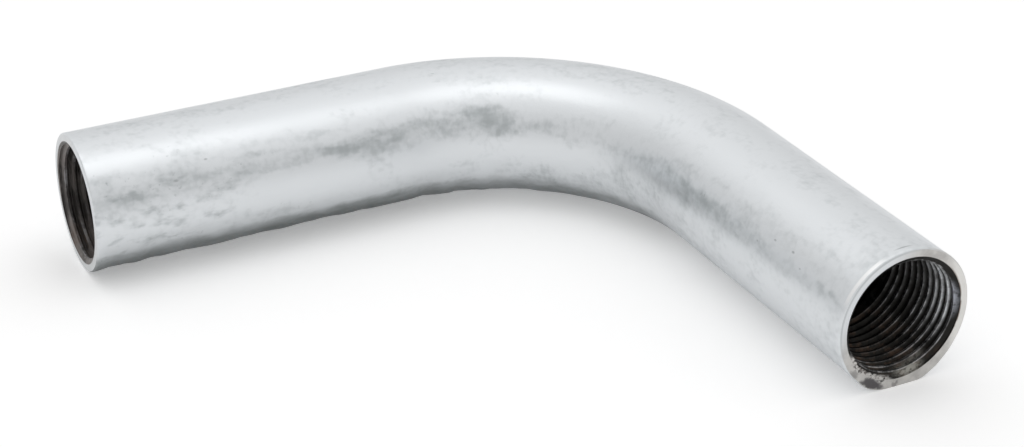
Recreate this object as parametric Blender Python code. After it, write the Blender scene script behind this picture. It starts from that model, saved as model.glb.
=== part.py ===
"""Galvanised steel conduit bend with a female thread in each mouth.

The part is one piece of tube: a straight leg, a quarter bend and a second, shorter leg.
It lies flat on its side, as it comes to rest on a bench. The origin is on the bench, under
the middle of the part's box. Leg A points along -X and leg B points along -Y.
"""

import math

import bmesh
import bpy
from mathutils import Matrix, Vector

# Driving dimensions, in metres and radians

THREAD_DIAMETER = 0.0200       # major diameter of the female conduit thread
THREAD_PITCH = 0.0015          # one turn of the thread, 60 degree flanks
THREAD_LENGTH = 0.0172         # from the face of the mouth to the end of the last turn
WALL_BEHIND_THREAD = 0.0014    # metal left between the thread's root and the outside
BEND_RADIUS = 0.0407           # to the centreline
BEND_ANGLE = math.radians(90)
LEG_A_LENGTH = 0.0557          # straight part of the longer leg
LEG_B_LENGTH = 0.0500          # straight part of the shorter leg
BEND_FLATTENING = 0.0009       # width that the tube loses across the middle of the bend
RIM_ROUNDING = 0.00025         # worn outer edge of each end face
MOUTH_RELIEF = 0.00005         # the countersink opens this much wider than the thread, all round
THREAD_RUN_OUT = 0.0012        # length over which the last turn fades into the bore

# Numbers of sides and steps

SIDES = 36
BEND_STEPS = 20
RIM_STEPS = 3
WELD_DISTANCE = 0.000002       # closes the hairline slivers where a thread's cut meets the bore's edges

# Sizes that follow from the driving dimensions

FLANK_ANGLE = math.radians(30)
SHARP_DEPTH = THREAD_PITCH / 2 / math.tan(FLANK_ANGLE)
THREAD_DEPTH = SHARP_DEPTH * 5 / 8
ROOT_FLAT = THREAD_PITCH / 8
OUTER_RADIUS = THREAD_DIAMETER / 2 + WALL_BEHIND_THREAD
BORE_RADIUS = THREAD_DIAMETER / 2 - THREAD_DEPTH
COUNTERSINK = THREAD_DEPTH + MOUTH_RELIEF
BEND_CENTRE = Vector((LEG_A_LENGTH, -BEND_RADIUS, 0))

ZINC_COLOUR = (0.60, 0.61, 0.62, 1.0)
ZINC_ROUGHNESS = 0.38


def clear_scene():
    """Start from an empty scene."""
    for old in list(bpy.data.objects):
        bpy.data.objects.remove(old)


def zinc_material():
    """Dull grey zinc coating."""
    material = bpy.data.materials.new("galvanised_zinc")
    material.use_nodes = True
    shader = material.node_tree.nodes["Principled BSDF"]
    shader.inputs["Base Color"].default_value = ZINC_COLOUR
    shader.inputs["Metallic"].default_value = 1.0
    shader.inputs["Roughness"].default_value = ZINC_ROUGHNESS
    material.diffuse_color = ZINC_COLOUR
    return material


def section_loops(bm):
    """Outer and bore circles round the X axis at the face of mouth A: the section that is swept."""
    across = Matrix.Rotation(math.radians(90), 4, "Y")
    for radius in (OUTER_RADIUS, BORE_RADIUS):
        bmesh.ops.create_circle(bm, segments=SIDES, radius=radius, matrix=across)
    return bm.edges[:]


def extrude_straight(bm, loops, travel):
    """Draw both circles out along one straight leg and return them at its far end."""
    drawn = bmesh.ops.extrude_edge_only(bm, edges=loops)["geom"]
    bmesh.ops.translate(bm, vec=travel, verts=[part for part in drawn if isinstance(part, bmesh.types.BMVert)])
    return [part for part in drawn if isinstance(part, bmesh.types.BMEdge)]


def spin_bend(bm, loops):
    """Turn both circles round the centre of the bend and return them at its far end."""
    turned = bmesh.ops.spin(
        bm,
        geom=[*loops, *{vert for edge in loops for vert in edge.verts}],
        cent=BEND_CENTRE,
        axis=Vector((0, 0, -1)),
        angle=BEND_ANGLE,
        steps=BEND_STEPS,
    )
    return [part for part in turned["geom_last"] if isinstance(part, bmesh.types.BMEdge)]


def flatten_bend(bm):
    """Narrow the tube across the bend, most at its middle, as tube bending does."""
    for vert in bm.verts:
        arm = Vector((vert.co.x, vert.co.y, 0)) - BEND_CENTRE
        turned = math.atan2(arm.x, arm.y)
        if not 0 < turned < BEND_ANGLE:
            continue
        share = math.sin(math.pi * turned / BEND_ANGLE) ** 2
        shrink = share * BEND_FLATTENING / (2 * OUTER_RADIUS)
        offset = (arm.length - BEND_RADIUS) * (1 - shrink)
        place = BEND_CENTRE + arm.normalized() * (BEND_RADIUS + offset)
        vert.co.x = place.x
        vert.co.y = place.y


def rim_edges(bm, mouth, outward, radius):
    """Edges of one end face that lie on the circle of the given radius."""
    reach = THREAD_PITCH / 10
    chosen = []
    for edge in bm.edges:
        offsets = [vert.co - mouth for vert in edge.verts]
        on_face = all(abs(offset.dot(outward)) < reach for offset in offsets)
        on_circle = all(abs(offset.length - radius) < reach for offset in offsets)
        if on_face and on_circle:
            chosen.append(edge)
    return chosen


def finish_mouth(bm, mouth, outward):
    """Round the outer edge of one end face and countersink its mouth."""
    bmesh.ops.bevel(
        bm,
        geom=rim_edges(bm, mouth, outward, OUTER_RADIUS),
        offset=RIM_ROUNDING,
        segments=RIM_STEPS,
        profile=0.5,
        affect="EDGES",
    )
    bmesh.ops.bevel(
        bm,
        geom=rim_edges(bm, mouth, outward, BORE_RADIUS),
        offset=COUNTERSINK,
        segments=1,
        affect="EDGES",
    )


def thread_cutter(name, mouth, outward):
    """Wedge wound into one mouth as a right-hand helix: what the tap takes out of the wall."""
    inner_radius = BORE_RADIUS - THREAD_DEPTH / 4
    outer_radius = THREAD_DIAMETER / 2
    half_root = ROOT_FLAT / 2
    half_base = half_root + (outer_radius - inner_radius) * math.tan(FLANK_ANGLE)
    start = -THREAD_PITCH
    steps = round((THREAD_LENGTH - start - half_base) / THREAD_PITCH * SIDES)
    bm = bmesh.new()
    corners = (
        (inner_radius, -half_base),
        (outer_radius, -half_root),
        (outer_radius, half_root),
        (inner_radius, half_base),
    )
    wedge = bm.faces.new([bm.verts.new((radius, 0, start + along)) for radius, along in corners])
    bmesh.ops.spin(
        bm,
        geom=[wedge, *wedge.edges, *wedge.verts],
        cent=Vector(),
        axis=Vector((0, 0, 1)),
        dvec=Vector((0, 0, THREAD_PITCH / SIDES)),
        angle=steps * math.tau / SIDES,
        steps=steps,
    )
    for vert in bm.verts:
        past = (vert.co.z - THREAD_LENGTH + THREAD_RUN_OUT) / THREAD_RUN_OUT
        pull = min(max(past, 0), 1) * THREAD_DEPTH
        flat = vert.co.xy
        vert.co.xy = flat * (1 - pull / flat.length)
    bmesh.ops.recalc_face_normals(bm, faces=bm.faces)
    bm.transform(Matrix.Translation(mouth) @ outward.to_track_quat("-Z", "Y").to_matrix().to_4x4())
    cutter = object_from(bm, name)
    cutter.hide_render = True
    cutter.display_type = "WIRE"
    return cutter


def object_from(bm, name):
    """Turn a finished bmesh into an object of that name."""
    mesh = bpy.data.meshes.new(name)
    bm.to_mesh(mesh)
    bm.free()
    made = bpy.data.objects.new(name, mesh)
    bpy.context.collection.objects.link(made)
    return made


def cut_thread(tube, cutter):
    """Take the cutter's helix out of the tube's wall."""
    cut = tube.modifiers.new("cut_" + cutter.name, "BOOLEAN")
    cut.operation = "DIFFERENCE"
    cut.solver = "EXACT"
    cut.object = cutter


def weld_slivers(tube):
    """Merge the cut's corners that fall on corners of the bore."""
    weld = tube.modifiers.new("weld_slivers", "WELD")
    weld.merge_threshold = WELD_DISTANCE


def build_bend():
    """Sweep the tube, finish both mouths and cut their threads."""
    bm = bmesh.new()
    heading = Vector((math.cos(BEND_ANGLE), -math.sin(BEND_ANGLE), 0))
    loops = section_loops(bm)
    bmesh.ops.bridge_loops(bm, edges=loops)
    loops = extrude_straight(bm, loops, Vector((LEG_A_LENGTH, 0, 0)))
    loops = spin_bend(bm, loops)
    loops = extrude_straight(bm, loops, heading * LEG_B_LENGTH)
    bmesh.ops.bridge_loops(bm, edges=loops)
    bmesh.ops.recalc_face_normals(bm, faces=bm.faces)
    flatten_bend(bm)

    side = Vector((math.sin(BEND_ANGLE), math.cos(BEND_ANGLE), 0))
    mouth_a = Vector()
    mouth_b = BEND_CENTRE + side * BEND_RADIUS + heading * LEG_B_LENGTH
    mouths = {"thread_a": (mouth_a, Vector((-1, 0, 0))), "thread_b": (mouth_b, heading)}
    for mouth, outward in mouths.values():
        finish_mouth(bm, mouth, outward)

    corners = [[min(vert.co[axis] for vert in bm.verts), max(vert.co[axis] for vert in bm.verts)] for axis in range(3)]
    to_bench = Vector((-sum(corners[0]) / 2, -sum(corners[1]) / 2, -corners[2][0]))
    bmesh.ops.translate(bm, vec=to_bench, verts=bm.verts)

    bend = object_from(bm, "conduit_bend")
    bend.data.materials.append(zinc_material())
    bend.data.shade_smooth()
    bend.data.set_sharp_from_angle(angle=math.radians(28))
    for name, (mouth, outward) in mouths.items():
        cut_thread(bend, thread_cutter(name, mouth + to_bench, outward))
    weld_slivers(bend)
    return bend


clear_scene()
build_bend()
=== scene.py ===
"""Galvanised steel conduit bend with a female thread in each mouth, dressed for a product picture."""

import math
import random

import bmesh
import bpy
from mathutils import Matrix, Vector, noise


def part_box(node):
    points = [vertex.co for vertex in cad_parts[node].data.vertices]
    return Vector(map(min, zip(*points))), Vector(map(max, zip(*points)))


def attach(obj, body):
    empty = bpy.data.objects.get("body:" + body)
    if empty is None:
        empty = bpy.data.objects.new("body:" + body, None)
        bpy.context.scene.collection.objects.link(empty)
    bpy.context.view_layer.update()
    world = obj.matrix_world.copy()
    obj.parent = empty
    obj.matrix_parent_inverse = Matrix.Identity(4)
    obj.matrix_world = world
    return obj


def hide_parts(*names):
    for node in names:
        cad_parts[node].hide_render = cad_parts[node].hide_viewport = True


bl_info = {
    "name": "Conduit Bend",
    "version": (1, 0, 0),
    "blender": (4, 5, 0),
    "location": "View3D > Sidebar > Conduit",
    "description": "Models a galvanised conduit bend with threaded mouths and lights it",
    "category": "Add Mesh",
}

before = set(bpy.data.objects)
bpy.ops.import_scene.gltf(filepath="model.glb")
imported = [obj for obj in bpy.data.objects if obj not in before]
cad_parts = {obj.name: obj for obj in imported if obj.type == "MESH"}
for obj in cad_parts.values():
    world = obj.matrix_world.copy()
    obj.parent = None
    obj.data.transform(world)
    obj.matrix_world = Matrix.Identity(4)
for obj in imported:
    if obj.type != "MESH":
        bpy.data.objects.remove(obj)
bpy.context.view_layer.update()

# What the frame gives

NODE = "conduit_bend"
BODY = "root"
LOW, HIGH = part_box(NODE)
TUBE_RADIUS = (HIGH.z - LOW.z) / 2
MOUTH_A = Vector((LOW.x, HIGH.y - TUBE_RADIUS, TUBE_RADIUS))
MOUTH_B = Vector((HIGH.x - TUBE_RADIUS, LOW.y, TUBE_RADIUS))
OUTWARD_A = Vector((-1, 0, 0))
OUTWARD_B = Vector((0, -1, 0))
MOUTHS = ((MOUTH_A, OUTWARD_A), (MOUTH_B, OUTWARD_B))
UP = Vector((0, 0, 1))

MM = 0.001
QUARTER_TURN = math.pi / 2
FLANK_ANGLE = math.radians(30)
MARGIN = 0.05 * MM      # how far a vert may lie from where it is looked for

TUBE = "galvanised_tube"
CRUMBS = "zinc_crumbs"
ZINC, RIM, BORE = range(3)
PLACE = "tube_place"

# Zinc that ran to the underside of mouth B and set in lumps: degrees round the tube from the
# outside of the bend towards the top, and millimetres from the axis to the rim's outline there

RIM_OUTLINE = (
    (-156, 11.40), (-135, 11.58), (-115, 11.98), (-97, 11.76), (-87, 11.76), (-69, 12.18),
    (-59, 12.02), (-45, 11.80), (-28, 11.58), (-10, 11.48), (5, 11.42), (25, 11.44), (50, 11.40),
)
LUMP_REACH = 3.5 * MM

# The coating covers the outside and turns a little way in over the end faces

SKIN_REACH = 0.7 * MM
SKIN_FADE = 0.4 * MM

# Gentle waves in the coating: how many to a millimetre, and their share of the depth

WAVES = ((0.11, 0.6), (0.33, 0.3))

# Uneven runs under leg A: how many to a millimetre along and across, which slice of the noise, and share

RUNS = ((0.21, 0.08, 3, 1.0), (0.47, 0.10, 7, 0.6))
RUN_BASE = 0.35
RUN_SWING = 0.8
RUN_WIDTH = 50
RUNS_END = 92 * MM
RUNS_FADE = 20 * MM

# The painted shade along the underside of leg A and the bend, a dark, uneven strip, and the runs there: the
# middle of it, in degrees round

UNDERSIDE = -128

# Cloudy marks duller or brighter than the coating round them: dull zinc, with painted shade on the dark
# band at 150 to 163 degrees and across the highlight, and painted highlights and painted light on the
# bright ones;
# millimetres along from mouth A, degrees round, length, width, strength

DULL_AND_SHADE_MARKS = (
    (8.5, 157, 6, 2.6, 0.8),
    (14.5, 151, 5, 2.0, 0.7),
    (22, 152, 10, 1.6, 0.5),
    (30, 156, 9, 1.8, 0.6),
    (38, 153, 12, 1.8, 0.6),
    (46, 154, 8, 2.2, 1.5),
    (54, 151, 7, 1.5, 0.6),
    (64, 154, 9, 2.0, 0.6),
    (73, 151, 7, 2.8, 1.9),
    (78, 160, 8, 2.4, 1.2),
    (90, 158, 14, 1.8, 0.6),
    (106, 160, 12, 2.0, 0.7),
    (116, 161, 9, 2.4, 0.8),
    (123, 163, 6, 3.0, 0.9),
    (124, 178, 4, 6, 0.5),
    (131, 161, 9, 2.2, 0.8),
    (142, 160, 12, 2.0, 0.6),
    (155, 159, 12, 2.0, 0.5),
    (65, -168, 8, 1.4, 0.5),
    (162.6, 155, 3.0, 1.5, 0.7),
    (167.4, 158, 2.0, 1.2, 0.9),
    (16, 117, 4, 3, 0.4),
    (72, 121, 5, 4, 0.7),
    (112, 118, 9, 7, 0.22),
)
# Painted highlights along the highlight band, and painted light on the lower side of leg A and the top of
# leg B
PAINTED_HIGHLIGHTS = (
    (8, 126, 10, 3, 0.8),
    (36, 119, 15, 3.5, 1.6),
    (58, 120, 8, 3.5, 1.3),
    (90, 124, 10, 3.5, 1.3),
    (105, 126, 9, 3.5, 0.8),
    (128, 121, 9, 4, 0.8),
    (129, 96, 11, 5.0, 1.1),
    (148, 118, 16, 4.0, 1.0),
    (34, 178, 16, 4.0, 1.4),
    (60, 179, 14, 4.0, 1.4),
    (86, 180, 14, 4.0, 1.2),
)

# Small sharp-edged marks, listed alike: specks of dross, and a scratch beside the rim of mouth B

SPECKS = (
    (149.6, 149, 0.42, 0.22, 0.45),
    (154.3, 148, 0.46, 0.26, 0.5),
    (157.2, 155, 0.34, 0.20, 0.35),
    (146.0, 158, 0.34, 0.20, 0.35),
    (19.5, 140, 0.42, 0.24, 0.4),
    (14.0, 152, 0.60, 0.30, 0.4),
    (168.4, 92, 0.20, 1.90, 0.5),
)

# Marks inside mouth B, listed alike: painted glints and a thin film low down, a painted bluish reflection
# at the right

THREAD_GLINTS = (
    (168.7, -100, 1.1, 1.8, 1.4),
    (168.3, -86, 0.8, 2.0, 1.2),
    (167.4, -69, 0.9, 1.5, 0.8),
)
THREAD_SHEEN = (
    (168.7, 6, 1.0, 5.0, 1.3),
)
THREAD_FILM = (
    (168.6, -78, 1.7, 3.8, 1.0),
    (167.2, -64, 1.7, 2.8, 0.8),
)

# Stains on the face of mouth B: degrees round, millimetres from the axis, length, width, strength

RIM_STAINS = (
    (-117, 11.0, 2.3, 0.85, 1.0),
    (-93, 10.7, 0.4, 0.5, 0.5),
    (-138, 10.9, 0.8, 0.5, 0.4),
)

# Crumbs of zinc along the inner edge of mouth B: the arc in degrees round, and in millimetres their
# radius, how far outside the edge and how deep behind the face they lie, and their roughness

CRUMB_ARC = (-154, -103)
CRUMB_COUNT = 44
CRUMB_RADIUS = (0.26, 0.50)
CRUMB_OUT = (-0.25, 0.1)
CRUMB_DEPTH = (0.05, 1.0)
CRUMB_GRAIN = 0.45 * MM
CRUMB_ROUGHNESS = 0.18 * MM
CRUMB_SEED = 5

# The camera's place, in outer diameters of the tube from the corner where the two legs' lines meet

CAMERA_PLACE = Vector((-8.169, -14.414, 7.539))

# Directions in the studio: away from the camera, and to the window behind the shorter leg

BACK_SIDE = Vector((0.55, 0.83, 0))
WINDOW = Vector((-0.25, 0.78, 0.57))


class ConduitTubeSizes(bpy.types.PropertyGroup):
    """Sizes of the tube and its threads."""

    bend_radius: bpy.props.FloatProperty(
        name="Bend radius", description="Radius of the bend, to the centreline",
        default=40.7 * MM, min=20 * MM, unit="LENGTH")
    flattening: bpy.props.FloatProperty(
        name="Flattening", description="Width that the tube loses across the middle of the bend",
        default=0.9 * MM, min=0, unit="LENGTH")
    thread_diameter: bpy.props.FloatProperty(
        name="Thread diameter", description="Major diameter of the female thread",
        default=20 * MM, min=5 * MM, unit="LENGTH")
    thread_pitch: bpy.props.FloatProperty(
        name="Thread pitch", description="Distance from one turn of the thread to the next",
        default=1.5 * MM, min=0.5 * MM, unit="LENGTH")
    thread_length: bpy.props.FloatProperty(
        name="Thread length", description="Depth of the last turn behind the face of the mouth",
        default=17.2 * MM, min=3 * MM, unit="LENGTH")
    run_out: bpy.props.FloatProperty(
        name="Run-out", description="Length over which the last turn fades into the bore",
        default=1.2 * MM, min=0.1 * MM, unit="LENGTH")
    mouth_relief: bpy.props.FloatProperty(
        name="Mouth relief", description="How much wider than the thread the countersink opens, all round",
        default=0.05 * MM, min=0, unit="LENGTH")
    countersink_depth: bpy.props.FloatProperty(
        name="Countersink depth", description="How far behind the face the countersink meets the bore",
        default=0.6 * MM, min=0.1 * MM, unit="LENGTH")
    rim_rounding: bpy.props.FloatProperty(
        name="Rim rounding", description="Radius of the worn outer edge of each end face",
        default=0.35 * MM, min=0, unit="LENGTH")
    out_of_square: bpy.props.FloatProperty(
        name="Out of square", description="How much shorter leg A is cut on the outside of the bend",
        default=0.6 * MM, min=0, unit="LENGTH")
    rim_steps: bpy.props.IntProperty(
        name="Rim steps", description="Faces across the rounding of each rim",
        default=4, min=1, max=12)
    sides: bpy.props.IntProperty(
        name="Sides", description="Sides round the tube and steps to each turn of the thread",
        default=128, min=24, max=256)
    ring_spacing: bpy.props.FloatProperty(
        name="Ring spacing", description="Distance between the rings of faces along the outside",
        default=0.9 * MM, min=0.3 * MM, unit="LENGTH")


class ConduitFinish(bpy.types.PropertyGroup):
    """Colours and gloss of the coating, the cut rim and the thread."""

    zinc_light: bpy.props.FloatVectorProperty(
        name="Light zinc", description="Fresh, bright parts of the coating",
        default=(0.825, 0.85, 0.87), subtype="COLOR", min=0, max=1)
    zinc_dull: bpy.props.FloatVectorProperty(
        name="Dull zinc", description="Clouded parts of the coating",
        default=(0.49, 0.52, 0.53), subtype="COLOR", min=0, max=1)
    # Painted shade: the dark strip under leg A and the bend stands for the shade beneath the tube
    under_shade: bpy.props.FloatVectorProperty(
        name="Underside", description="Dark, rough strip of coating under leg A and the bend",
        default=(0.25, 0.27, 0.27), subtype="COLOR", min=0, max=1)
    # Painted highlight: the bright arc behind the rim of mouth B
    rim_highlight: bpy.props.FloatVectorProperty(
        name="Dressed zinc", description="Bright arc where the rim of mouth B was dressed",
        default=(0.98, 0.985, 0.99), subtype="COLOR", min=0, max=1)
    rim_metal: bpy.props.FloatVectorProperty(
        name="Rim", description="Warm grey of the cut end faces",
        default=(0.68, 0.665, 0.64), subtype="COLOR", min=0, max=1)
    rim_bright: bpy.props.FloatVectorProperty(
        name="Bright rim", description="Freshly filed part of the rim of mouth B",
        default=(0.93, 0.92, 0.89), subtype="COLOR", min=0, max=1)
    thread_crest: bpy.props.FloatVectorProperty(
        name="Thread crest", description="Rubbed metal on the crests of the thread",
        default=(0.60, 0.60, 0.61), subtype="COLOR", min=0, max=1)
    # Oily black of the grooves, made darker still as painted shade inside the bore
    thread_root: bpy.props.FloatVectorProperty(
        name="Thread root", description="Oily black of the grooves and the bore",
        default=(0.018, 0.017, 0.015), subtype="COLOR", min=0, max=1)
    dry_film: bpy.props.FloatVectorProperty(
        name="Dry film", description="Thin grey-brown film inside mouth A",
        default=(0.20, 0.18, 0.17), subtype="COLOR", min=0, max=1)
    # Painted reflection: the bluish sheen on the first turn of the thread in mouth B
    blue_reflection: bpy.props.FloatVectorProperty(
        name="Blue film", description="Bluish film on the first turn of the thread in mouth B",
        default=(0.48, 0.50, 0.56), subtype="COLOR", min=0, max=1)
    low_film: bpy.props.FloatVectorProperty(
        name="Low film", description="Thin olive-grey film on the lowest first turns in mouth B",
        default=(0.58, 0.565, 0.51), subtype="COLOR", min=0, max=1)
    rust: bpy.props.FloatVectorProperty(
        name="Rust", description="Brown bloom in the lower turns of the thread",
        default=(0.14, 0.085, 0.055), subtype="COLOR", min=0, max=1)
    stain: bpy.props.FloatVectorProperty(
        name="Stain", description="Dark purple-grey patch under mouth B where the coating is missing",
        default=(0.115, 0.108, 0.112), subtype="COLOR", min=0, max=1)
    skin_depth: bpy.props.FloatProperty(
        name="Skin depth", description="Depth of the gentle waves in the coating",
        default=0.05 * MM, min=0, unit="LENGTH")
    drip_depth: bpy.props.FloatProperty(
        name="Drip depth", description="Depth of the uneven runs along the underside of leg A",
        default=0.42 * MM, min=0, unit="LENGTH")


class ConduitStage(bpy.types.PropertyGroup):
    """Floor, light and camera."""

    floor_colour: bpy.props.FloatVectorProperty(
        name="Floor", description="Colour of the floor",
        default=(0.92, 0.92, 0.92), subtype="COLOR", min=0, max=1)
    floor_lift: bpy.props.FloatProperty(
        name="Floor lift", description="Light that the floor adds for the camera, so that it shows white",
        default=0.24, min=0, max=1)
    floor_shine: bpy.props.FloatProperty(
        name="Floor shine", description="Light that the floor adds for reflections in the metal",
        default=0.07, min=0, max=1)
    softbox_power: bpy.props.FloatProperty(
        name="Softbox power", description="Power of the large lamp overhead",
        default=0.27, min=0, unit="POWER")
    sky_front: bpy.props.FloatProperty(
        name="Front level", description="Brightness of the studio low down, on the camera's side",
        default=0.80, min=0, max=2)
    sky_back: bpy.props.FloatProperty(
        name="Back level", description="Brightness of the studio low down, behind the part",
        default=0.86, min=0, max=2)
    sky_top: bpy.props.FloatProperty(
        name="Top level", description="Brightness of the studio overhead",
        default=1.12, min=0, max=2)
    window: bpy.props.FloatProperty(
        name="Window", description="Extra brightness of a window behind the shorter leg",
        default=0.14, min=0, max=1)
    camera_azimuth: bpy.props.FloatProperty(
        name="Camera azimuth", description="Angle of the camera round the part, from the -Y side",
        default=math.radians(-27.138), subtype="ANGLE")
    camera_elevation: bpy.props.FloatProperty(
        name="Camera elevation", description="Angle of the camera above the horizon",
        default=math.radians(27.762), subtype="ANGLE")
    focal_length: bpy.props.FloatProperty(
        name="Focal length", description="Lens of the camera in millimetres, on a 36 mm sensor",
        default=82.6, min=10, unit="CAMERA")


def sizes():
    """The tube's sizes as they are set in the scene."""
    return bpy.context.scene.conduit_tube


# Places on the tube

def bend_centre():
    """Centre that the bend turns round, level with the centreline."""
    corner = Vector((MOUTH_B.x, MOUTH_A.y, TUBE_RADIUS))
    return corner - Vector((sizes().bend_radius, sizes().bend_radius, 0))


def tube_place(point):
    """Where a point would be if the bend were pulled straight: (along, out, up).

    Along runs from mouth A on the centreline, and out points away from the centre of the bend.
    """
    centre = bend_centre()
    radius = sizes().bend_radius
    height = point.z - TUBE_RADIUS
    if point.x < centre.x:
        return Vector((point.x - MOUTH_A.x, point.y - MOUTH_A.y, height))
    leg_a = centre.x - MOUTH_A.x
    if point.y < centre.y:
        return Vector((leg_a + QUARTER_TURN * radius + centre.y - point.y, point.x - MOUTH_B.x, height))
    arm = Vector((point.x - centre.x, point.y - centre.y))
    turned = math.atan2(arm.x, arm.y)
    return Vector((leg_a + turned * radius, arm.length - radius, height))


def tube_point(place):
    """The point that tube_place would turn into this place."""
    centre = bend_centre()
    radius = sizes().bend_radius
    leg_a = centre.x - MOUTH_A.x
    bend = QUARTER_TURN * radius
    along, out, up = place
    if along < leg_a:
        return Vector((MOUTH_A.x + along, MOUTH_A.y + out, TUBE_RADIUS + up))
    if along > leg_a + bend:
        return Vector((MOUTH_B.x + out, centre.y - (along - leg_a - bend), TUBE_RADIUS + up))
    turned = (along - leg_a) / radius
    reach = radius + out
    return Vector((
        centre.x + reach * math.sin(turned),
        centre.y + reach * math.cos(turned),
        TUBE_RADIUS + up,
    ))


def tube_length():
    return tube_place(MOUTH_B).x


def around(along, degrees, radius):
    """A place at that distance along, that many degrees round and that far from the centreline."""
    angle = math.radians(degrees)
    return Vector((along, radius * math.cos(angle), radius * math.sin(angle)))


def smooth(value):
    """Ease from 0 to 1."""
    value = min(max(value, 0), 1)
    return value * value * (3 - 2 * value)


# Editing helpers

def deselect_everything():
    if bpy.context.object and bpy.context.object.mode != "OBJECT":
        bpy.ops.object.mode_set(mode="OBJECT")
    bpy.ops.object.select_all(action="DESELECT")


def make_active(piece):
    deselect_everything()
    piece.select_set(True)
    bpy.context.view_layer.objects.active = piece


def start_editing(piece):
    make_active(piece)
    bpy.ops.object.mode_set(mode="EDIT")


def choose(piece, kind, wanted):
    """In edit mode, select the verts, edges or faces for which wanted(element) holds."""
    bpy.ops.mesh.select_mode(type=kind)
    bpy.ops.mesh.select_all(action="DESELECT")
    mesh = bmesh.from_edit_mesh(piece.data)
    for element in {"VERT": mesh.verts, "EDGE": mesh.edges, "FACE": mesh.faces}[kind]:
        if wanted(element):
            element.select_set(True)
    mesh.select_flush_mode()
    bmesh.update_edit_mesh(piece.data)


def apply_modifiers(piece):
    make_active(piece)
    for modifier in list(piece.modifiers):
        bpy.ops.object.modifier_apply(modifier=modifier.name)


def settle_place(piece):
    """Put a piece's place and turn into its mesh, so that the object itself sits at the origin."""
    make_active(piece)
    bpy.ops.object.transform_apply(location=True, rotation=True, scale=True)


def new_piece(name):
    """Name the object that an operator has just added."""
    piece = bpy.context.object
    piece.name = piece.data.name = name
    return piece


# The tube

def thread_depth():
    """Radial depth of an ISO metric thread of the chosen pitch."""
    return sizes().thread_pitch * math.sqrt(3) / 2 * 5 / 8


def bore_radius():
    return sizes().thread_diameter / 2 - thread_depth()


def draw_out(travel):
    """Extrude the selected loops of edges along a straight leg."""
    bpy.ops.mesh.extrude_edges_move(TRANSFORM_OT_translate={"value": travel})


def add_ring(radius):
    """Add a circle of edges round the tube's axis, at the face of mouth A."""
    bpy.ops.mesh.primitive_circle_add(
        vertices=sizes().sides, radius=radius, location=MOUTH_A, rotation=(0, QUARTER_TURN, 0))


def sweep_tube():
    """Draw the ring section out along leg A, round the bend and out along leg B."""
    tube = sizes()
    deselect_everything()
    add_ring(TUBE_RADIUS)
    piece = new_piece(TUBE)
    settle_place(piece)
    start_editing(piece)
    add_ring(bore_radius())
    bpy.ops.mesh.select_all(action="SELECT")
    bpy.ops.mesh.bridge_edge_loops()

    centre = bend_centre()
    choose(piece, "EDGE", lambda edge: len(edge.link_faces) == 1)
    draw_out(Vector((centre.x - MOUTH_A.x, 0, 0)))
    steps = round(tube.bend_radius * QUARTER_TURN / tube.ring_spacing)
    bpy.ops.mesh.spin(steps=steps, angle=QUARTER_TURN, center=centre, axis=UP)
    draw_out(Vector((0, MOUTH_B.y - centre.y, 0)))
    bpy.ops.mesh.bridge_edge_loops()
    bpy.ops.mesh.select_all(action="SELECT")
    bpy.ops.mesh.normals_make_consistent(inside=False)
    return piece


def on_rim(edge, radius):
    """Whether an edge lies on the circle of that radius at the face of either mouth."""
    for mouth, outward in MOUTHS:
        offsets = [vert.co - mouth for vert in edge.verts]
        if all(abs(o.dot(outward)) < MARGIN and abs(o.length - radius) < MARGIN for o in offsets):
            return True
    return False


def on_bore(vert, mouth, outward, depth):
    """Whether a vert lies on the bore, that far behind the face of a mouth."""
    offset = vert.co - mouth
    if abs(offset.dot(outward) + depth) > MARGIN:
        return False
    return abs(offset.cross(outward).length - bore_radius()) < MARGIN


def finish_mouths(piece):
    """Round the outer edges of both end faces and countersink both mouths."""
    tube = sizes()
    choose(piece, "EDGE", lambda edge: on_rim(edge, TUBE_RADIUS))
    bpy.ops.mesh.bevel(offset=tube.rim_rounding, segments=tube.rim_steps, affect="EDGES")
    choose(piece, "EDGE", lambda edge: on_rim(edge, bore_radius()))
    width = thread_depth() + tube.mouth_relief
    bpy.ops.mesh.bevel(offset=width, segments=1, affect="EDGES")
    for mouth, outward in MOUTHS:
        choose(piece, "VERT", lambda vert: on_bore(vert, mouth, outward, width))
        bpy.ops.transform.translate(value=outward * (width - tube.countersink_depth))


def ring_leg(piece, direction):
    """Divide the outside of one straight leg into rings, to take the waves in the coating."""
    shortest = 10 * MM
    parallel = 0.999

    def along_leg(edge):
        run = edge.verts[1].co - edge.verts[0].co
        outside = all(tube_place(vert.co).yz.length > TUBE_RADIUS - 2 * MARGIN for vert in edge.verts)
        return outside and run.length > shortest and abs(run.dot(direction)) > parallel * run.length

    choose(piece, "EDGE", along_leg)
    mesh = bmesh.from_edit_mesh(piece.data)
    length = max(edge.calc_length() for edge in mesh.edges if edge.select)
    bpy.ops.mesh.subdivide(number_cuts=round(length / sizes().ring_spacing) - 1)


def flatten_bend(piece):
    """Narrow the tube across the bend, most at its middle, as tube bending does."""
    tube = sizes()
    leg_a = bend_centre().x - MOUTH_A.x
    bend = QUARTER_TURN * tube.bend_radius
    for vert in piece.data.vertices:
        place = tube_place(vert.co)
        share = (place.x - leg_a) / bend
        if 0 < share < 1:
            place.y *= 1 - tube.flattening / (2 * TUBE_RADIUS) * math.sin(math.pi * share) ** 2
            vert.co = tube_point(place)


# The threads

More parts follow.
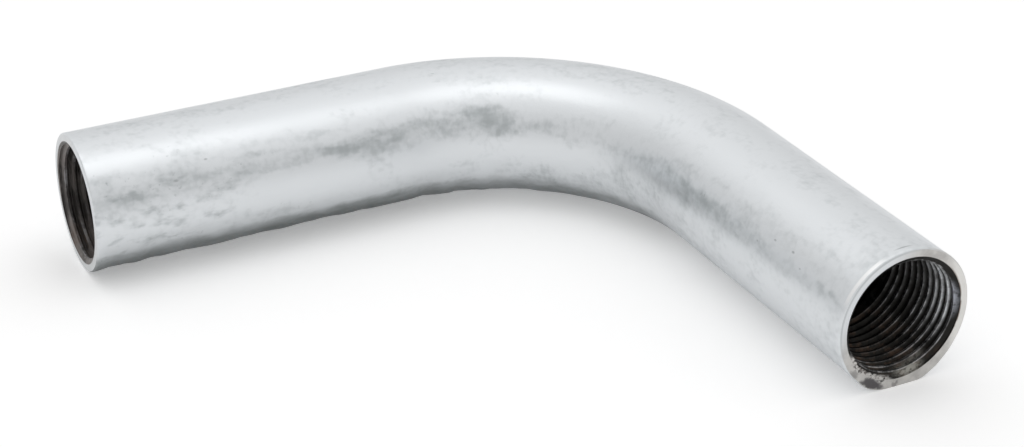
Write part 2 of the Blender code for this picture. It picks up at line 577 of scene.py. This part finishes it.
def thread_tap(name):
    """Wedge wound into a helix along +Z: what a tap takes out of the wall of a mouth at the origin."""
    tube = sizes()
    inner = bore_radius() - thread_depth() / 4
    outer = tube.thread_diameter / 2
    root = tube.thread_pitch / 8
    base = root + 2 * (outer - inner) * math.tan(FLANK_ANGLE)
    rounding = 0.3 * root
    stitch = 0.001 * MM
    start = -tube.thread_pitch
    deselect_everything()
    bpy.ops.mesh.primitive_plane_add(size=1, rotation=(QUARTER_TURN, 0, 0))
    tap = new_piece(name)
    settle_place(tap)
    start_editing(tap)
    bpy.ops.mesh.select_all(action="SELECT")
    bpy.ops.transform.resize(value=(outer - inner, 1, base))
    bpy.ops.transform.translate(value=((outer + inner) / 2, 0, start))
    choose(tap, "VERT", lambda vert: vert.co.x > (outer + inner) / 2)
    bpy.ops.transform.resize(value=(1, 1, root / base), center_override=(outer, 0, start))
    bpy.ops.mesh.bevel(offset=rounding, segments=2, affect="VERTICES")
    bpy.ops.mesh.select_all(action="SELECT")
    bpy.ops.mesh.delete(type="ONLY_FACE")
    bpy.ops.object.mode_set(mode="OBJECT")

    screw = tap.modifiers.new("wind", "SCREW")
    screw.axis = "Z"
    screw.steps = screw.render_steps = tube.sides
    screw.screw_offset = tube.thread_pitch
    screw.iterations = round((tube.thread_length - start) / tube.thread_pitch)
    screw.use_merge_vertices = False
    apply_modifiers(tap)
    start_editing(tap)
    bpy.ops.mesh.select_all(action="SELECT")
    bpy.ops.mesh.remove_doubles(threshold=stitch)
    bpy.ops.mesh.fill_holes(sides=0)
    bpy.ops.mesh.select_all(action="SELECT")
    bpy.ops.mesh.normals_make_consistent(inside=False)
    bpy.ops.object.mode_set(mode="OBJECT")
    for vert in tap.data.vertices:
        past = (vert.co.z - tube.thread_length + tube.run_out) / tube.run_out
        reach = vert.co.xy.length
        vert.co.xy *= 1 - min(max(past, 0), 1) * thread_depth() / reach
    return tap


def cut_thread(piece, name, mouth, turn):
    """Set a tap in a mouth, turned to face into it, and cut its thread."""
    sliver = 0.002 * MM
    tap = thread_tap(name)
    tap.location = mouth
    tap.rotation_euler = turn
    settle_place(tap)
    cut = piece.modifiers.new("cut_" + name, "BOOLEAN")
    cut.operation = "DIFFERENCE"
    cut.solver = "EXACT"
    cut.object = tap
    weld = piece.modifiers.new("weld_" + name, "WELD")
    weld.merge_threshold = sliver
    apply_modifiers(piece)
    bpy.data.objects.remove(tap)


# The coating

def outer_share(place):
    """1 on the outside of the tube, 0 in the bore and on the end faces' inner parts."""
    return smooth((place.yz.length - TUBE_RADIUS + SKIN_REACH) / SKIN_FADE)


def wave_skin(piece):
    """Press gentle waves and, under leg A, uneven runs into the outside of the coating."""
    finish = bpy.context.scene.conduit_finish
    length = tube_length()
    start_fade = 4 * MM
    rim_fade = 0.6 * MM
    for vert in piece.data.vertices:
        place = tube_place(vert.co)
        share = outer_share(place)
        if share == 0:
            continue
        wave = sum(noise.noise(place * scale / MM) * part for scale, part in WAVES)
        depth = finish.skin_depth * (0.5 + 0.5 * wave)
        angle = math.degrees(math.atan2(place.z, place.y))
        under = smooth(1 - abs(angle - UNDERSIDE) / RUN_WIDTH)
        run = sum(
            noise.noise(Vector((place.x * long / MM, place.y * wide / MM, level))) * part
            for long, wide, level, part in RUNS)
        fade = smooth((RUNS_END - place.x) / RUNS_FADE) * smooth(place.x / start_fade)
        depth += finish.drip_depth * under * fade * max(RUN_BASE + RUN_SWING * run, 0)
        fall = share * depth / place.yz.length
        end = min(place.x, length - place.x)
        fall *= smooth(end / rim_fade)
        place.y *= 1 - fall
        place.z *= 1 - fall
        vert.co = tube_point(place)


def outline_radius(degrees):
    """Distance from the axis to the outline of mouth B's rim."""
    for (start, near), (end, far) in zip(RIM_OUTLINE, RIM_OUTLINE[1:]):
        if start <= degrees <= end:
            return (near + (far - near) * smooth((degrees - start) / (end - start))) * MM
    return TUBE_RADIUS


def lump_rim(piece):
    """Give the underside of mouth B the lumps of the zinc that ran down to it."""
    length = tube_length()
    for vert in piece.data.vertices:
        place = tube_place(vert.co)
        back = length - place.x
        share = (1 - smooth(back / LUMP_REACH)) * outer_share(place)
        if share == 0:
            continue
        degrees = math.degrees(math.atan2(place.z, place.y))
        grow = 1 + share * (outline_radius(degrees) / TUBE_RADIUS - 1)
        place.y = min(place.y * grow, TUBE_RADIUS)
        place.z = max(place.z * grow, -TUBE_RADIUS)
        vert.co = tube_point(place)


def slant_end(piece):
    """Cut mouth A a little out of square, shorter on the outside of the bend."""
    reach = 9 * MM
    for vert in piece.data.vertices:
        place = tube_place(vert.co)
        if place.x < reach:
            cut = sizes().out_of_square * (place.y + TUBE_RADIUS) / (2 * TUBE_RADIUS)
            place.x += cut * (1 - smooth(place.x / reach))
            vert.co = tube_point(place)


def set_crumbs():
    """Small lumps of zinc that set along the inner edge of mouth B."""
    draw = random.Random(CRUMB_SEED)
    noise.seed_set(CRUMB_SEED)
    first, last = CRUMB_ARC
    edge = sizes().thread_diameter / 2
    deselect_everything()
    for index in range(CRUMB_COUNT):
        degrees = first + (last - first) * (index + draw.uniform(-0.3, 0.3)) / (CRUMB_COUNT - 1)
        radius = draw.uniform(*CRUMB_RADIUS) * MM
        reach = edge + draw.uniform(*CRUMB_OUT) * MM
        spot = tube_point(around(tube_length() - draw.uniform(*CRUMB_DEPTH) * MM, degrees, reach))
        bpy.ops.mesh.primitive_ico_sphere_add(subdivisions=3, radius=radius, location=spot)
        if index == 0:
            piece = new_piece(CRUMBS)
            settle_place(piece)
            start_editing(piece)
        shape = (draw.uniform(0.8, 1.5), draw.uniform(0.7, 1.1), draw.uniform(0.6, 1.0))
        bpy.ops.transform.resize(value=shape, center_override=spot)
    bpy.ops.object.mode_set(mode="OBJECT")
    for vert in piece.data.vertices:
        vert.co += noise.noise_vector(vert.co / CRUMB_GRAIN) * CRUMB_ROUGHNESS
        vert.co.y = max(vert.co.y, MOUTH_B.y)
    return piece


def sort_faces(piece):
    """Give each face its finish by where it lies: coating, cut rim or bore."""
    length = tube_length()
    wide = sizes().thread_diameter / 2 + 0.2 * MM
    square = 0.98
    flush = 0.02 * MM
    for face in piece.data.polygons:
        place = tube_place(face.center)
        end = min(place.x, length - place.x)
        flat = abs(face.normal.x) > square or abs(face.normal.y) > square
        if flat and end < flush:
            face.material_index = RIM
        elif place.yz.length < wide:
            face.material_index = BORE
        else:
            face.material_index = ZINC


def note_places(piece):
    """Store each corner's place on the straightened tube, for the materials to read."""
    layer = piece.data.attributes.new(PLACE, "FLOAT_VECTOR", "POINT")
    for vert, value in zip(piece.data.vertices, layer.data):
        value.vector = tube_place(vert.co)


def shade(piece, degrees):
    make_active(piece)
    bpy.ops.object.shade_smooth_by_angle(angle=math.radians(degrees))


# Materials

class Nodes:
    """Adds linked shader nodes to one material or world."""

    def __init__(self, owner):
        owner.use_nodes = True
        self.tree = owner.node_tree
        self.tree.nodes.clear()

    def add(self, kind, settings=None, **inputs):
        """Add a node. Each input is a value, or a socket to link; its name has _ for a space."""
        made = self.tree.nodes.new("ShaderNode" + kind)
        for name, value in (settings or {}).items():
            setattr(made, name, value)
        for name, value in inputs.items():
            self.feed(made.inputs[name.replace("_", " ")], value)
        return made

    def feed(self, socket, value):
        if isinstance(value, bpy.types.NodeSocket):
            self.tree.links.new(value, socket)
        else:
            socket.default_value = value

    def math(self, operation, first, second=0.0):
        made = self.tree.nodes.new("ShaderNodeMath")
        made.operation = operation
        self.feed(made.inputs[0], first)
        self.feed(made.inputs[1], second)
        return made.outputs[0]

    def vector(self, operation, first, second, output="Vector"):
        made = self.tree.nodes.new("ShaderNodeVectorMath")
        made.operation = operation
        self.feed(made.inputs[0], first)
        self.feed(made.inputs[1], second)
        return made.outputs[output]

    def plus(self, first, *others):
        """All of the values added up."""
        for value in others:
            first = self.math("ADD", first, value)
        return first

    def times(self, first, *others):
        """All of the values multiplied together."""
        for value in others:
            first = self.math("MULTIPLY", first, value)
        return first

    def length(self, vector):
        return self.vector("LENGTH", vector, (0, 0, 0), "Value")

    def ease(self, value, low, high, start=0.0, end=1.0):
        """Map low..high to start..end with soft ends."""
        made = self.tree.nodes.new("ShaderNodeMapRange")
        made.interpolation_type = "SMOOTHSTEP"
        for socket, given in zip(made.inputs, (value, low, high, start, end)):
            self.feed(socket, given)
        return made.outputs["Result"]

    def noise(self, vector, scale, detail=3.0, roughness=0.5):
        made = self.add("TexNoise", Vector=vector, Scale=scale, Detail=detail, Roughness=roughness)
        return made.outputs["Fac"]

    def wander(self, vector, scale, detail, roughness, reach):
        """A wavering offset of up to half that reach, to fray the edges of marks."""
        drift = self.add("TexNoise", Vector=vector, Scale=scale, Detail=detail, Roughness=roughness)
        centred = self.vector("SUBTRACT", drift.outputs["Color"], (0.5, 0.5, 0.5))
        return self.vector("MULTIPLY", centred, reach)

    def mix(self, factor, first, second):
        made = self.tree.nodes.new("ShaderNodeMix")
        made.data_type = "RGBA"
        self.feed(made.inputs[0], factor)
        for socket, value in ((made.inputs[6], first), (made.inputs[7], second)):
            self.feed(socket, value if isinstance(value, bpy.types.NodeSocket) else (*value, 1))
        return made.outputs[2]

    def place(self):
        """The stored place on the straightened tube."""
        return self.add("Attribute", {"attribute_name": PLACE}).outputs["Vector"]

    def spoke(self, split):
        """The part of a split place that points away from the centreline."""
        return self.add("CombineXYZ", Y=split.outputs["Y"], Z=split.outputs["Z"]).outputs["Vector"]

    def toward(self, spoke, degrees, scale=1.0):
        """How far a spoke points that many degrees round, times the scale."""
        return self.vector("DOT_PRODUCT", spoke, around(0, degrees, scale), "Value")

    def finish(self, surface):
        output = self.tree.nodes.new("ShaderNodeOutputMaterial")
        self.tree.links.new(surface, output.inputs["Surface"])


def marks(nodes, place, listed, wander=(0, 0, 0)):
    """Soft-edged marks at the listed places, added up."""
    total = 0.0
    for along, degrees, length, width, strength in listed:
        spot = around(along * MM, degrees, TUBE_RADIUS)
        offset = nodes.vector("SUBTRACT", place, spot)
        offset = nodes.vector("ADD", offset, wander)
        scaled = nodes.vector("MULTIPLY", offset, (1 / (length * MM), 1 / (width * MM), 1 / (width * MM)))
        total = nodes.plus(nodes.ease(nodes.length(scaled), 0.2, 1.1, strength, 0.0), total)
    return total


def zinc_material():
    """Hot-dip coating: cloudy light and dull zinc drawn out along the tube, with specks and marks, painted
    highlights and painted shade.
    """
    finish = bpy.context.scene.conduit_finish
    material = bpy.data.materials.new("galvanised_zinc")
    nodes = Nodes(material)
    place = nodes.place()
    split = nodes.add("SeparateXYZ", Vector=place)
    along = split.outputs["X"]
    back = nodes.math("SUBTRACT", tube_length(), along)
    spoke = nodes.vector("NORMALIZE", nodes.spoke(split), (0, 0, 0))
    drawn = nodes.vector("MULTIPLY", place, (0.45, 1, 1))
    clouds = nodes.noise(drawn, 110.0, 4.0, 0.55)
    haze = nodes.noise(drawn, 240.0, 3.5, 0.55)
    mottle = nodes.noise(drawn, 420.0, 3.0, 0.5)
    flecks = nodes.noise(place, 900.0, 1.5, 0.5)
    grain = nodes.noise(place, 2600.0, 3.0, 0.6)
    wander = nodes.wander(drawn, 220.0, 2.5, 0.5, (12 * MM, 4 * MM, 4 * MM))
    # Dull marks are dull zinc and partly painted shade; bright marks are painted highlights and painted
    # light
    dull_and_shade = marks(nodes, place, DULL_AND_SHADE_MARKS, wander)
    bright = marks(nodes, place, PAINTED_HIGHLIGHTS, wander)

    # Specks of dross, thickest near mouth A
    dross = nodes.noise(place, 1100.0, 2.0, 0.6)
    chance = nodes.noise(place, 130.0, 2.0)
    crowd = nodes.ease(along, 10 * MM, 45 * MM, 0.48, 0.62)
    crowded = nodes.ease(nodes.math("SUBTRACT", chance, crowd), 0.0, 0.1)
    speck = nodes.times(nodes.ease(dross, 0.62, 0.74), crowded)

    # Fine, dirty mottling on the side of leg A, towards its mouth
    side = nodes.ease(nodes.toward(spoke, 178), 0.74, 0.95)
    start = nodes.ease(along, 12 * MM, 36 * MM, 1.0, 0.15)
    spots = nodes.times(side, start, nodes.ease(nodes.noise(drawn, 600.0, 3.0, 0.5), 0.46, 0.76))

    # All that dulls the coating, painted shade among it, less its brighter marks, which are painted
    # highlights
    dirt_and_painted_light = nodes.plus(
        nodes.ease(clouds, 0.40, 0.72, 0.0, 0.22),
        nodes.ease(mottle, 0.40, 0.75, 0.0, 0.25),
        nodes.ease(flecks, 0.35, 0.7, -0.10, 0.13),
        nodes.ease(haze, 0.45, 0.7, 0.0, 0.22),
        nodes.times(dull_and_shade, nodes.ease(haze, 0.3, 0.6, 0.2, 0.5)),
        nodes.times(spots, 0.6),
        nodes.times(speck, 0.4),
        nodes.times(bright, -0.35))
    dirt_and_painted_light = nodes.ease(dirt_and_painted_light, 0.0, 1.2)
    colour = nodes.mix(dirt_and_painted_light, finish.zinc_light, finish.zinc_dull)
    colour = nodes.mix(marks(nodes, place, SPECKS), colour, [0.4 * c for c in finish.zinc_dull])

    # Painted shade: a dark strip along the underside, ending where leg B begins
    uneven = nodes.times(nodes.math("SUBTRACT", mottle, 0.5), 0.08)
    facing = nodes.plus(nodes.toward(spoke, UNDERSIDE), uneven)
    narrow = nodes.ease(along, 55 * MM, 72 * MM, 0.0, 0.035)
    under = nodes.ease(nodes.math("SUBTRACT", facing, narrow), 0.845, 1.03)
    fringe = nodes.times(nodes.ease(facing, 0.7, 0.9), nodes.ease(along, 55 * MM, 72 * MM, 0.12, 0.0))
    under = nodes.math("MAXIMUM", under, fringe)
    under = nodes.times(under, nodes.ease(along, 106 * MM, 122 * MM, 1.0, 0.12))
    colour = nodes.mix(under, colour, finish.under_shade)

    # Painted highlight: a bright arc just behind the rim of mouth B
    arc = nodes.times(
        nodes.ease(back, 0.1 * MM, 0.3 * MM),
        nodes.ease(back, 0.7 * MM, 1.0 * MM, 1.0, 0.0),
        nodes.ease(nodes.toward(spoke, 133), 0.90, 0.97))
    colour = nodes.mix(arc, colour, finish.rim_highlight)

    # Filed edge on the right and low side of that rim, where the coating is worn off
    right = nodes.ease(nodes.toward(spoke, -30), -0.35, 0.1)
    filed = nodes.times(nodes.ease(back, 0.25 * MM, 0.5 * MM, 0.8, 0.0), right)
    colour = nodes.mix(filed, colour, finish.rim_metal)

    rough = nodes.plus(nodes.times(clouds, 0.7), nodes.times(dirt_and_painted_light, 0.5))
    height = nodes.plus(mottle, nodes.times(grain, 0.3))
    bump = nodes.add("Bump", Strength=0.4, Distance=0.12 * MM, Height=height)
    shader = nodes.add(
        "BsdfPrincipled", Base_Color=colour, Metallic=0.92,
        Roughness=nodes.ease(rough, 0.2, 1.0, 0.34, 0.52), Normal=bump.outputs["Normal"])
    nodes.finish(shader.outputs["BSDF"])
    return material


def rim_material():
    """Cut end face: warm grey, filed, with the dark patch and stains under mouth B."""
    finish = bpy.context.scene.conduit_finish
    material = bpy.data.materials.new("cut_rim")
    nodes = Nodes(material)
    place = nodes.place()
    split = nodes.add("SeparateXYZ", Vector=place)
    spoke = nodes.spoke(split)
    reach = nodes.length(spoke)
    unit = 1 / TUBE_RADIUS
    end = tube_length()
    mouth_b = nodes.ease(split.outputs["X"], 0.4 * end, 0.6 * end)
    cloud = nodes.noise(place, 500.0, 5.0, 0.6)
    filed = nodes.noise(nodes.vector("MULTIPLY", place, (1, 1, 0.3)), 3000.0, 2.0)
    wander = nodes.wander(place, 700.0, 4.0, 0.6, (2.2 * MM, 2.2 * MM, 2.2 * MM))

    def patch(degrees, radius, length, width, strength):
        """A stain on the face, longer round the rim than across it."""
        spot = around(end, degrees, radius * MM)
        offset = nodes.vector("ADD", nodes.vector("SUBTRACT", place, spot), wander)
        across = nodes.toward(offset, degrees)
        along = nodes.toward(offset, degrees + 90)
        far = nodes.plus(
            nodes.math("POWER", nodes.math("DIVIDE", across, width * MM), 2.0),
            nodes.math("POWER", nodes.math("DIVIDE", along, length * MM), 2.0))
        return nodes.ease(far, 0.4, 1.5, strength, 0.0)

    colour = nodes.mix(nodes.ease(cloud, 0.35, 0.7), finish.rim_metal, [0.78 * c for c in finish.rim_metal])

    # Coating left on the upper left of rim B and most of rim A, with a thin dull line in it
    coated = nodes.ease(nodes.toward(spoke, 140, unit), 0.35, 0.85)
    coated = nodes.math("MAXIMUM", coated, nodes.ease(mouth_b, 0.0, 1.0, 0.75, 0.0))
    colour = nodes.mix(coated, colour, finish.zinc_light)
    line = nodes.times(nodes.ease(reach, 10.8 * MM, 10.95 * MM, 0.0, 0.6), coated, mouth_b)
    colour = nodes.mix(line, colour, finish.zinc_dull)

    # Stains under mouth B, and its bright right side with rust on the inner edge
    stain = nodes.times(nodes.plus(*(patch(*row) for row in RIM_STAINS)), mouth_b)
    colour = nodes.mix(stain, colour, finish.stain)
    right = nodes.times(nodes.ease(nodes.toward(spoke, 5, unit), 0.6, 0.85), mouth_b)
    colour = nodes.mix(nodes.times(right, 0.7), colour, finish.rim_bright)
    inner = nodes.ease(reach, 10.1 * MM, 10.3 * MM, 1.0, 0.0)
    rusty = nodes.times(right, nodes.ease(cloud, 0.35, 0.55, 0.2, 0.8), inner)
    colour = nodes.mix(rusty, colour, finish.rust)

    bump = nodes.add("Bump", Strength=0.4, Distance=0.06 * MM, Height=nodes.plus(cloud, filed))
    shader = nodes.add(
        "BsdfPrincipled", Base_Color=colour, Metallic=0.6, Normal=bump.outputs["Normal"],
        Roughness=nodes.ease(stain, 0.0, 1.0, 0.5, 0.3))
    nodes.finish(shader.outputs["BSDF"])
    return material


def crumb_material():
    """Rough crumbs of zinc with dirt between them."""
    finish = bpy.context.scene.conduit_finish
    material = bpy.data.materials.new("rough_zinc")
    nodes = Nodes(material)
    place = nodes.place()
    cloud = nodes.noise(place, 900.0, 3.0, 0.6)
    colour = nodes.mix(nodes.ease(cloud, 0.42, 0.6), finish.rim_metal, finish.dry_film)
    bump = nodes.add("Bump", Strength=0.6, Distance=0.1 * MM, Height=nodes.noise(place, 2500.0))
    shader = nodes.add(
        "BsdfPrincipled", Base_Color=colour, Metallic=0.5, Roughness=0.5, Normal=bump.outputs["Normal"])
    nodes.finish(shader.outputs["BSDF"])
    return material


def bore_material():
    """Thread and bore: oily black grooves, partly painted shade, with rubbed crests, brownish low down, and
    painted highlights in mouth B.
    """
    finish = bpy.context.scene.conduit_finish
    material = bpy.data.materials.new("oily_thread")
    nodes = Nodes(material)
    place = nodes.place()
    split = nodes.add("SeparateXYZ", Vector=place)
    along = split.outputs["X"]
    spoke = nodes.spoke(split)
    reach = nodes.length(spoke)
    unit = 1 / TUBE_RADIUS
    bore = bore_radius()
    worn = nodes.noise(place, 300.0, 5.0, 0.75)
    fine = nodes.noise(place, 1500.0, 3.0, 0.6)
    low = nodes.ease(nodes.toward(spoke, -100, unit), 0.35, 0.8)
    depth = nodes.math("MINIMUM", along, nodes.math("SUBTRACT", tube_length(), along))
    near_a = nodes.ease(along, 3 * MM, 20 * MM, 1.0, 0.0)
    near_b = nodes.ease(along, 0.5 * tube_length(), 0.6 * tube_length())

    # Crests rubbed bright here and there, least low down, and none past the thread; their dimming far in is
    # painted shade deep in the bore
    crest = nodes.ease(reach, bore + 0.02 * MM, bore + 0.22 * MM, 1.0, 0.0)
    gaps = nodes.noise(nodes.vector("MULTIPLY", place, (2.5, 1, 1)), 170.0, 2.0)
    dirty = nodes.times(low, nodes.ease(depth, 2.5 * MM, 7 * MM, 0.0, 0.85))
    wear_and_depth_shade = nodes.times(
        nodes.ease(depth, 1.5 * MM, 16 * MM, 1.0, 0.35),
        nodes.ease(worn, 0.40, 0.60, 0.06, 1.0),
        nodes.ease(gaps, 0.36, 0.52, 0.25, 1.0),
        nodes.math("SUBTRACT", 1.0, dirty))
    crest = nodes.times(crest, wear_and_depth_shade, nodes.ease(depth, 17 * MM, 18 * MM, 1.0, 0.0))

    # Painted highlight: brighter first turns on the right side of mouth B
    right_highlight = nodes.times(
        nodes.ease(nodes.toward(spoke, 12, unit), 0.42, 0.8),
        nodes.ease(depth, 2 * MM, 9 * MM, 1.0, 0.12),
        nodes.ease(depth, 0.8 * MM, 1.3 * MM),
        near_b)
    shoulder = nodes.ease(reach, bore + 0.05 * MM, bore + 0.5 * MM, 1.0, 0.0)
    shoulder = nodes.times(shoulder, right_highlight, nodes.ease(worn, 0.35, 0.6, 0.3, 1.0))
    crest = nodes.math("MAXIMUM", crest, shoulder)
    colour = nodes.mix(right_highlight, finish.thread_crest, finish.zinc_light)
    colour = nodes.mix(crest, finish.thread_root, colour)

    # Dry film in mouth A, rust low down, a thin film low in mouth B, and a painted bluish reflection at its
    # right
    streaks = nodes.noise(nodes.vector("MULTIPLY", place, (1, 0.2, 0.2)), 900.0, 3.0, 0.6)
    film = nodes.times(near_a, nodes.ease(streaks, 0.4, 0.6, 0.25, 1.0))
    colour = nodes.mix(film, colour, finish.dry_film)
    bloom = nodes.times(low, nodes.ease(worn, 0.45, 0.65), 0.5)
    colour = nodes.mix(bloom, colour, finish.rust)
    low_film = nodes.times(marks(nodes, place, THREAD_FILM), nodes.ease(fine, 0.38, 0.55, 0.3, 0.9))
    colour = nodes.mix(low_film, colour, finish.low_film)
    # Painted reflection: bluish sheen on the first turns at the right of mouth B
    sheen = nodes.times(marks(nodes, place, THREAD_SHEEN), nodes.ease(fine, 0.35, 0.6, 0.3, 1.0))
    colour = nodes.mix(sheen, colour, finish.blue_reflection)

    # Thin crust of zinc in the countersink, between the crumbs
    crust = nodes.times(
        nodes.ease(nodes.toward(spoke, -128, unit), 0.73, 0.80),
        nodes.ease(depth, 0.4 * MM, 0.9 * MM, 0.85, 0.0),
        nodes.ease(fine, 0.36, 0.5, 0.3, 1.0),
        near_b)
    colour = nodes.mix(crust, colour, finish.rim_metal)
    # Painted glints on the first crests low in mouth B
    glint = nodes.times(marks(nodes, place, THREAD_GLINTS), nodes.ease(fine, 0.4, 0.55))
    colour = nodes.mix(glint, colour, finish.zinc_light)

    bump = nodes.add("Bump", Strength=0.35, Distance=0.06 * MM, Height=fine)
    shader = nodes.add(
        "BsdfPrincipled", Base_Color=colour, Metallic=nodes.ease(near_a, 0.0, 1.0, 0.8, 0.4),
        Roughness=nodes.ease(fine, 0.3, 0.7, 0.28, 0.5), Normal=bump.outputs["Normal"])
    nodes.finish(shader.outputs["BSDF"])
    return material


def floor_material():
    """Pale floor that shows white to the camera and in reflections, and keeps the part's shadow."""
    stage = bpy.context.scene.conduit_stage
    material = bpy.data.materials.new("pale_floor")
    nodes = Nodes(material)
    rays = nodes.add("LightPath")
    seen = nodes.math("MAXIMUM", rays.outputs["Is Camera Ray"], rays.outputs["Is Transmission Ray"])
    seen = nodes.times(seen, stage.floor_lift)
    mirrored = nodes.times(rays.outputs["Is Glossy Ray"], stage.floor_shine)
    cover = nodes.add("BsdfDiffuse", Color=(*stage.floor_colour, 1))
    lift = nodes.add("Emission", Strength=nodes.math("MAXIMUM", seen, mirrored))
    both = nodes.tree.nodes.new("ShaderNodeAddShader")
    nodes.feed(both.inputs[0], cover.outputs["BSDF"])
    nodes.feed(both.inputs[1], lift.outputs["Emission"])
    nodes.finish(both.outputs["Shader"])
    return material


# Operators

class CONDUIT_OT_tube(bpy.types.Operator):
    """Model the bent tube, countersink its mouths and cut both threads"""

    bl_idname = "conduit.tube"
    bl_label = "Make tube"

    def execute(self, context):
        piece = sweep_tube()
        finish_mouths(piece)
        ring_leg(piece, OUTWARD_A)
        ring_leg(piece, OUTWARD_B)
        bpy.ops.object.mode_set(mode="OBJECT")
        flatten_bend(piece)
        cut_thread(piece, "tap_a", MOUTH_A, (0, QUARTER_TURN, 0))
        cut_thread(piece, "tap_b", MOUTH_B, (-QUARTER_TURN, 0, 0))
        sort_faces(piece)
        wave_skin(piece)
        lump_rim(piece)
        note_places(piece)
        slant_end(piece)
        shade(piece, 32)
        for material in (zinc_material(), rim_material(), bore_material()):
            piece.data.materials.append(material)
        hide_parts(NODE)
        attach(piece, BODY)
        return {"FINISHED"}


class CONDUIT_OT_crumbs(bpy.types.Operator):
    """Set the crumbs of zinc along the inner edge of mouth B"""

    bl_idname = "conduit.crumbs"
    bl_label = "Add crumbs"

    def execute(self, context):
        piece = set_crumbs()
        note_places(piece)
        shade(piece, 60)
        piece.data.materials.append(crumb_material())
        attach(piece, BODY)
        return {"FINISHED"}


class CONDUIT_OT_stage(bpy.types.Operator):
    """Lay the floor, hang the lamps and set the camera"""

    bl_idname = "conduit.stage"
    bl_label = "Set stage"

    def execute(self, context):
        stage = context.scene.conduit_stage
        deselect_everything()
        bpy.ops.mesh.primitive_plane_add(size=8)
        floor = new_piece("floor")
        floor.data.materials.append(floor_material())
        light_studio(stage)
        place_camera(stage)
        context.scene.view_settings.view_transform = "Standard"
        return {"FINISHED"}


def add_softbox(name, target, direction, long_way, distance, length, width, power):
    """A rectangular lamp that faces the target from that direction, with its long side that way."""
    data = bpy.data.lights.new(name, "AREA")
    data.shape = "RECTANGLE"
    data.size = length
    data.size_y = width
    data.energy = power
    lamp = bpy.data.objects.new(name, data)
    bpy.context.scene.collection.objects.link(lamp)
    back = direction.normalized()
    side = (long_way - back * long_way.dot(back)).normalized()
    turn = Matrix((side, back.cross(side), back)).transposed()
    lamp.matrix_world = Matrix.Translation(target + back * distance) @ turn.to_4x4()
    return lamp


def light_studio(stage):
    """A strip softbox overhead, and a studio that is pale behind the part and greyer in front of it."""
    centre = (LOW + HIGH) / 2
    add_softbox(
        "softbox", centre, direction=Vector((-0.04, 0.01, 0.98)), long_way=Vector((-0.85, 0.5, 0)),
        distance=0.6, length=0.6, width=0.3, power=stage.softbox_power)
    world = bpy.data.worlds.new("studio")
    bpy.context.scene.world = world
    nodes = Nodes(world)
    where = nodes.add("TexCoord").outputs["Generated"]
    height = nodes.add("SeparateXYZ", Vector=where).outputs["Z"]
    behind = nodes.vector("DOT_PRODUCT", where, BACK_SIDE, "Value")
    low_level = nodes.ease(behind, 0.2, 0.85, stage.sky_front, stage.sky_back)
    lifted = nodes.plus(height, nodes.times(behind, 0.1))
    level = nodes.ease(lifted, 0.25, 1.0, low_level, stage.sky_top)
    window = nodes.vector("DOT_PRODUCT", where, WINDOW.normalized(), "Value")
    level = nodes.plus(level, nodes.ease(window, 0.9, 0.99, 0.0, stage.window))
    sky = nodes.add("Background", Strength=level)
    output = nodes.tree.nodes.new("ShaderNodeOutputWorld")
    nodes.feed(output.inputs["Surface"], sky.outputs["Background"])


def place_camera(stage):
    """Camera at the viewing angle of the photograph."""
    data = bpy.data.cameras.new("camera")
    camera = bpy.data.objects.new("camera", data)
    bpy.context.scene.collection.objects.link(camera)
    azimuth, elevation = stage.camera_azimuth, stage.camera_elevation
    back = Vector((
        math.sin(azimuth) * math.cos(elevation),
        -math.cos(azimuth) * math.cos(elevation),
        math.sin(elevation),
    ))
    corner = Vector((MOUTH_B.x, MOUTH_A.y, TUBE_RADIUS))
    camera.location = corner + CAMERA_PLACE * 2 * TUBE_RADIUS
    camera.rotation_mode = "QUATERNION"
    camera.rotation_quaternion = (-back).to_track_quat("-Z", "Y")
    data.sensor_width = 36
    data.lens = stage.focal_length
    data.clip_start = 0.01
    data.clip_end = 20
    bpy.context.scene.camera = camera


class CONDUIT_PT_panel(bpy.types.Panel):
    """Sizes, finish and stage of the conduit bend"""

    bl_label = "Conduit Bend"
    bl_idname = "CONDUIT_PT_panel"
    bl_space_type = "VIEW_3D"
    bl_region_type = "UI"
    bl_category = "Conduit"

    def draw(self, context):
        for title, group in (
            ("Tube", context.scene.conduit_tube),
            ("Finish", context.scene.conduit_finish),
            ("Stage", context.scene.conduit_stage),
        ):
            box = self.layout.box()
            box.label(text=title)
            for name in group.__annotations__:
                box.prop(group, name)
        for operator in OPERATORS:
            self.layout.operator(operator.bl_idname)


GROUPS = {
    "conduit_tube": ConduitTubeSizes,
    "conduit_finish": ConduitFinish,
    "conduit_stage": ConduitStage,
}
OPERATORS = (CONDUIT_OT_tube, CONDUIT_OT_crumbs, CONDUIT_OT_stage)


def register():
    for name, group in GROUPS.items():
        bpy.utils.register_class(group)
        setattr(bpy.types.Scene, name, bpy.props.PointerProperty(type=group))
    for operator in OPERATORS:
        bpy.utils.register_class(operator)
    bpy.utils.register_class(CONDUIT_PT_panel)


def unregister():
    bpy.utils.unregister_class(CONDUIT_PT_panel)
    for operator in reversed(OPERATORS):
        bpy.utils.unregister_class(operator)
    for name, group in reversed(GROUPS.items()):
        delattr(bpy.types.Scene, name)
        bpy.utils.unregister_class(group)


def main():
    register()
    bpy.ops.conduit.tube()
    bpy.ops.conduit.crumbs()
    bpy.ops.conduit.stage()


if __name__ == "__main__":
    main()
